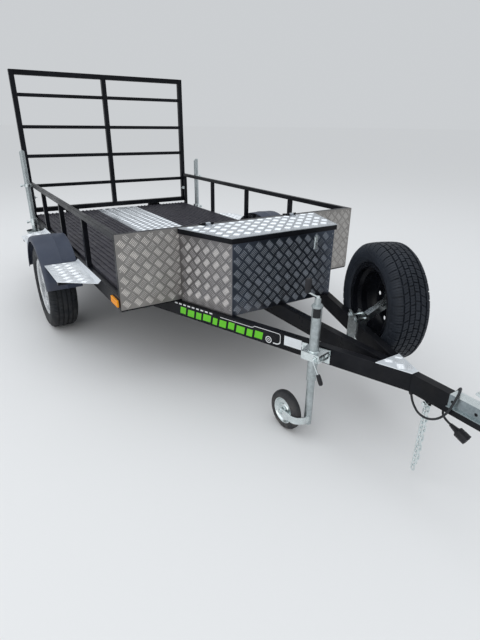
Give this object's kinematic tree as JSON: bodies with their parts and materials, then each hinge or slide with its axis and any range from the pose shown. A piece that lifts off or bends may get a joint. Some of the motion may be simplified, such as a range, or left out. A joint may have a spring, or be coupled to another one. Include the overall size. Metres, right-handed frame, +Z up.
{
  "type": "utility trailer",
  "caption": "Open single-axle utility trailer with a tall drop-down ramp gate, chequer-plate headboard and tool box, side rails, jockey wheel and spare wheel on the drawbar.",
  "frame": {"origin": "on the ground under the middle of the trailer's length and width", "axes": "+Z up, -Y towards the coupling, +Y towards the ramp gate, +X to the trailer's side that the spare wheel hangs on"},
  "size_m": [2.02, 4.152, 1.74],
  "materials": {
    "black_paint": "satin black paint",
    "ribbed_deck": "ribbed dark grey anti-slip board",
    "chequer_plate": "bright five-bar chequer plate",
    "zinc_steel": "galvanised",
    "mudguard_plastic": "moulded black plastic",
    "alloy": "silver lacquer",
    "tyre_rubber": "worn rubber",
    "solid_rubber": "solid rubber",
    "black_steel_rim": "black painted steel",
    "amber_lens": "amber lens",
    "red_lens": "red lens",
    "lead_rubber": "cable sheath",
    "plug_plastic": "moulded plug"
  },
  "bodies": {
    "chassis": {"axle_arms": "black_paint", "axle_beam": "black_paint", "cable_gland": "lead_rubber", "chain_shackle": "zinc_steel", "coupling_handle": "zinc_steel", "coupling_head": "zinc_steel", "cross_members": "black_paint", "deck_boards": "ribbed_deck", "deck_strip": "chequer_plate", "drawbar_centre_beam": "black_paint", "drawbar_gusset": "chequer_plate", "drawbar_v_beams": "black_paint", "fender_brackets": "black_paint", "fender_left": "mudguard_plastic", "fender_right": "mudguard_plastic", "front_wall": "chequer_plate", "gate_hinges": "black_paint", "gate_latches": "zinc_steel", "guard_posts": "black_paint", "guard_rails": "black_paint", "jockey_clamp": "zinc_steel", "jockey_crank": "zinc_steel", "jockey_outer_tube": "zinc_steel", "lead_cable": "lead_rubber", "lead_plug": "plug_plastic", "lid_hinges": "black_paint", "rear_lamps": "red_lens", "safety_chain": "zinc_steel", "side_markers": "amber_lens", "side_rails": "black_paint", "spare_bracket": "zinc_steel", "spare_rim": "black_steel_rim", "spare_tyre": "tyre_rubber", "stand_clamps": "zinc_steel", "step_plates": "chequer_plate", "toolbox_body": "chequer_plate", "toolbox_latch": "zinc_steel"},
    "gate": {"gate_uprights": "black_paint", "gate_bars": "black_paint"},
    "toolbox_lid": {"lid_frame": "black_paint", "lid_plate": "chequer_plate"},
    "wheel_left": {"tyre_left": "tyre_rubber", "rim_left": "alloy", "hub_left": "zinc_steel"},
    "wheel_right": {"tyre_right": "tyre_rubber", "rim_right": "alloy", "hub_right": "zinc_steel"},
    "jockey_leg": {"jockey_inner_tube": "zinc_steel"},
    "jockey_caster": {"jockey_fork": "zinc_steel"},
    "jockey_wheel": {"jockey_rim": "zinc_steel", "jockey_tyre": "solid_rubber"},
    "stand_left": {"rear_stand_left": "zinc_steel"},
    "stand_right": {"rear_stand_right": "zinc_steel"}
  },
  "joints": [
    {"name": "wheel_left_spin", "type": "hinge", "parent": "chassis", "child": "wheel_left", "pos_m": [-0.905, 0.689, 0.291], "axis": [1, 0, 0], "continuous": true},
    {"name": "wheel_right_spin", "type": "hinge", "parent": "chassis", "child": "wheel_right", "pos_m": [0.905, 0.689, 0.291], "axis": [1, 0, 0], "continuous": true},
    {"name": "gate_hinge", "type": "hinge", "parent": "chassis", "child": "gate", "pos_m": [0, 2.064, 0.554], "axis": [-1, 0, 0], "range_deg": [0, 117.41]},
    {"name": "lid_hinge", "type": "hinge", "parent": "chassis", "child": "toolbox_lid", "pos_m": [0, -0.434, 0.862], "axis": [-1, 0, 0], "range_deg": [0, 95]},
    {"name": "jockey_leg_slide", "type": "slide", "parent": "chassis", "child": "jockey_leg", "axis": [0, 0, 1], "range_m": [-0.1, 0.07]},
    {"name": "jockey_swivel", "type": "hinge", "parent": "jockey_leg", "child": "jockey_caster", "pos_m": [-0.20765, -1.245, 0.097], "axis": [0, 0, 1], "continuous": true},
    {"name": "jockey_wheel_spin", "type": "hinge", "parent": "jockey_caster", "child": "jockey_wheel", "pos_m": [-0.25465, -1.14, 0.097], "axis": [1, 0, 0], "continuous": true},
    {"name": "stand_left_slide", "type": "slide", "parent": "chassis", "child": "stand_left", "axis": [0, 0, -1], "range_m": [0, 0.428]},
    {"name": "stand_right_slide", "type": "slide", "parent": "chassis", "child": "stand_right", "axis": [0, 0, -1], "range_m": [0, 0.318]}
  ]
}
